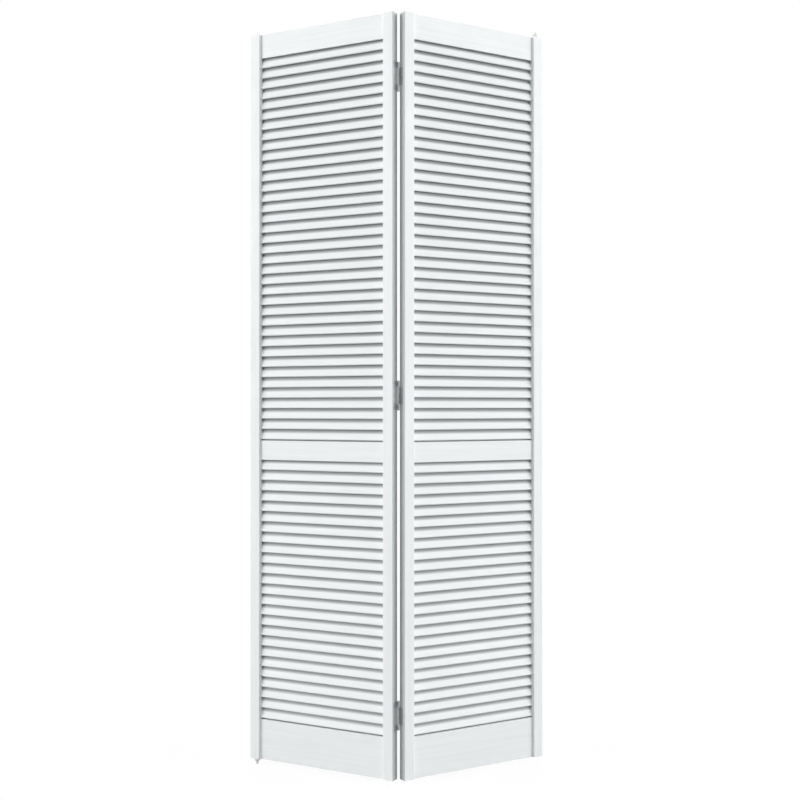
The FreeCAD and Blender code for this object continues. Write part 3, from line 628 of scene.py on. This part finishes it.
def make_world():
    world = bpy.data.worlds.new("white_studio")
    bpy.context.scene.world = world
    world.use_nodes = True
    tree = world.node_tree
    tree.nodes.clear()
    fill = add_node(tree, "ShaderNodeBackground", {
        "Color": linear("FFFFFF"), "Strength": FILL_LEVEL,
    })
    white = add_node(tree, "ShaderNodeBackground", {
        "Color": linear("FFFFFF"), "Strength": WHITE_LEVEL,
    })
    mix = add_node(tree, "ShaderNodeMixShader", {
        0: seen_by_camera(tree), 1: fill.outputs[0], 2: white.outputs[0],
    })
    add_node(tree, "ShaderNodeOutputWorld", {"Surface": mix.outputs[0]})


make_world()
print("world fill level", FILL_LEVEL)

# %% [markdown]
# The floor is a sheet of pale card under the door's lowest point. It glows nearly white to the
# camera and adds a weak diffuse part, which is where the door's soft shadow still falls. To the
# rays that carry light it is an ordinary light grey card, so it throws only a gentle light up
# at the undersides of rails and slats.

# %% Floor
FLOOR_SIZE = 30.0       # metres
FLOOR_GLOW = 0.87
FLOOR_SHADOW_COAT = (0.16, 0.16, 0.16, 1.0)     # what the camera sees in light and shadow
FLOOR_CARD = (0.54, 0.54, 0.54, 1.0)            # what the light meets


def make_floor():
    half = FLOOR_SIZE / 2
    z = cad_box[0][2]
    corners = [(-half, -half, z), (half, -half, z), (half, half, z), (-half, half, z)]
    mesh = bpy.data.meshes.new("floor")
    mesh.from_pydata(corners, [], [(0, 1, 2, 3)])
    floor = bpy.data.objects.new("floor", mesh)
    bpy.context.scene.collection.objects.link(floor)
    material = bpy.data.materials.new("pale_floor_card")
    material.use_nodes = True
    tree = material.node_tree
    tree.nodes.clear()
    card = add_node(tree, "ShaderNodeBsdfDiffuse", {"Color": FLOOR_CARD})
    shadow_coat = add_node(tree, "ShaderNodeBsdfDiffuse", {"Color": FLOOR_SHADOW_COAT})
    glow = add_node(tree, "ShaderNodeEmission", {
        "Color": linear("FFFFFF"), "Strength": FLOOR_GLOW,
    })
    white = add_node(tree, "ShaderNodeAddShader", {0: shadow_coat.outputs[0], 1: glow.outputs[0]})
    mix = add_node(tree, "ShaderNodeMixShader", {
        0: seen_by_camera(tree), 1: card.outputs[0], 2: white.outputs[0],
    })
    add_node(tree, "ShaderNodeOutputMaterial", {"Surface": mix.outputs[0]})
    mesh.materials.append(material)


make_floor()
print("floor at z", round(cad_box[0][2], 4))

# %% [markdown]
# ## Soft light
# Louvres are drawn by light from above, and the fold by light from the sides: its two narrow
# edges face forward, so they stay darker than the panels only where little light comes from the
# front. So the door stands between two large soft boxes, level with its own plane, with two
# lower ones in front of them. One high in front opens the shadows, and a wide one behind keeps
# the back from going grey.
#
# The levels are set by the brightest places. The stiles' outer edges, and the panels' faces
# when the door is folded flat, look straight at the boxes. The edges stay below white, and the
# folded faces only reach it near their top.
#
# Real soft boxes would be brighter at the height where they hang. Sun lamps with a wide angle
# are as soft, and light the door evenly from top to foot: the angle is the size of the light as
# the door sees it.

# %% Lamps
LAMPS = {
    # name: direction from the door's front (right is positive), height, width, strength
    "left_box": (-88, 18, 36, 1.16),
    "right_box": (88, 18, 36, 1.16),
    "left_low_box": (-67, 8, 36, 1.82),
    "right_low_box": (67, 8, 36, 1.82),
    "front_high_box": (0, 50, 44, 0.72),
    "rear_high_box": (180, 30, 60, 1.50),
}


def add_soft_box(name, side_deg, height_deg, width_deg, strength):
    """A wide sun lamp that shines from a direction around the door."""
    side, height = math.radians(side_deg), math.radians(height_deg)
    towards_lamp = Vector((
        math.sin(side) * math.cos(height), -math.cos(side) * math.cos(height), math.sin(height),
    ))
    data = bpy.data.lights.new(name, "SUN")
    data.energy = strength
    data.angle = math.radians(width_deg)
    lamp = bpy.data.objects.new(name, data)
    lamp.rotation_euler = towards_lamp.to_track_quat("Z", "Y").to_euler()
    bpy.context.scene.collection.objects.link(lamp)


for lamp_name, (side_deg, height_deg, width_deg, strength) in LAMPS.items():
    add_soft_box(lamp_name, side_deg, height_deg, width_deg, strength)
print("lamps:", len(LAMPS))

# %% [markdown]
# ## The camera
# The camera stands a little over three metres in front of the folded edge, at half the door's
# height, and looks almost level. From there both panels run away to the two sides by the same
# angle, and the upright edges stay upright. The lens is given by the angle that it takes in: its
# focal length in pixels over the frame's width in pixels is the focal length over the sensor's
# width.

# %% Camera
FRAME_PIXELS = 800
FOCAL_PIXELS = 1197.2
SENSOR_WIDTH = 36.0
CAMERA_PLACE = Vector((0.3146, -3.3379, 0.9776))
CAMERA_YAW_DEG = 1.403      # to the right
CAMERA_PITCH_DEG = 0.383    # up


def make_camera():
    data = bpy.data.cameras.new("camera")
    data.sensor_width = SENSOR_WIDTH
    data.lens = FOCAL_PIXELS / FRAME_PIXELS * SENSOR_WIDTH
    camera = bpy.data.objects.new("camera", data)
    camera.location = CAMERA_PLACE
    turn = Matrix.Rotation(-math.radians(CAMERA_YAW_DEG), 4, "Z")
    lift = Matrix.Rotation(math.radians(90 + CAMERA_PITCH_DEG), 4, "X")
    camera.rotation_euler = (turn @ lift).to_euler()
    bpy.context.scene.collection.objects.link(camera)
    bpy.context.scene.camera = camera
    return data


camera_data = make_camera()
print("lens", round(camera_data.lens, 1), "mm")

# %% [markdown]
# ## Last settings
# The Standard view shows each colour as it was written.

# %% Finish
bpy.context.scene.view_settings.view_transform = "Standard"
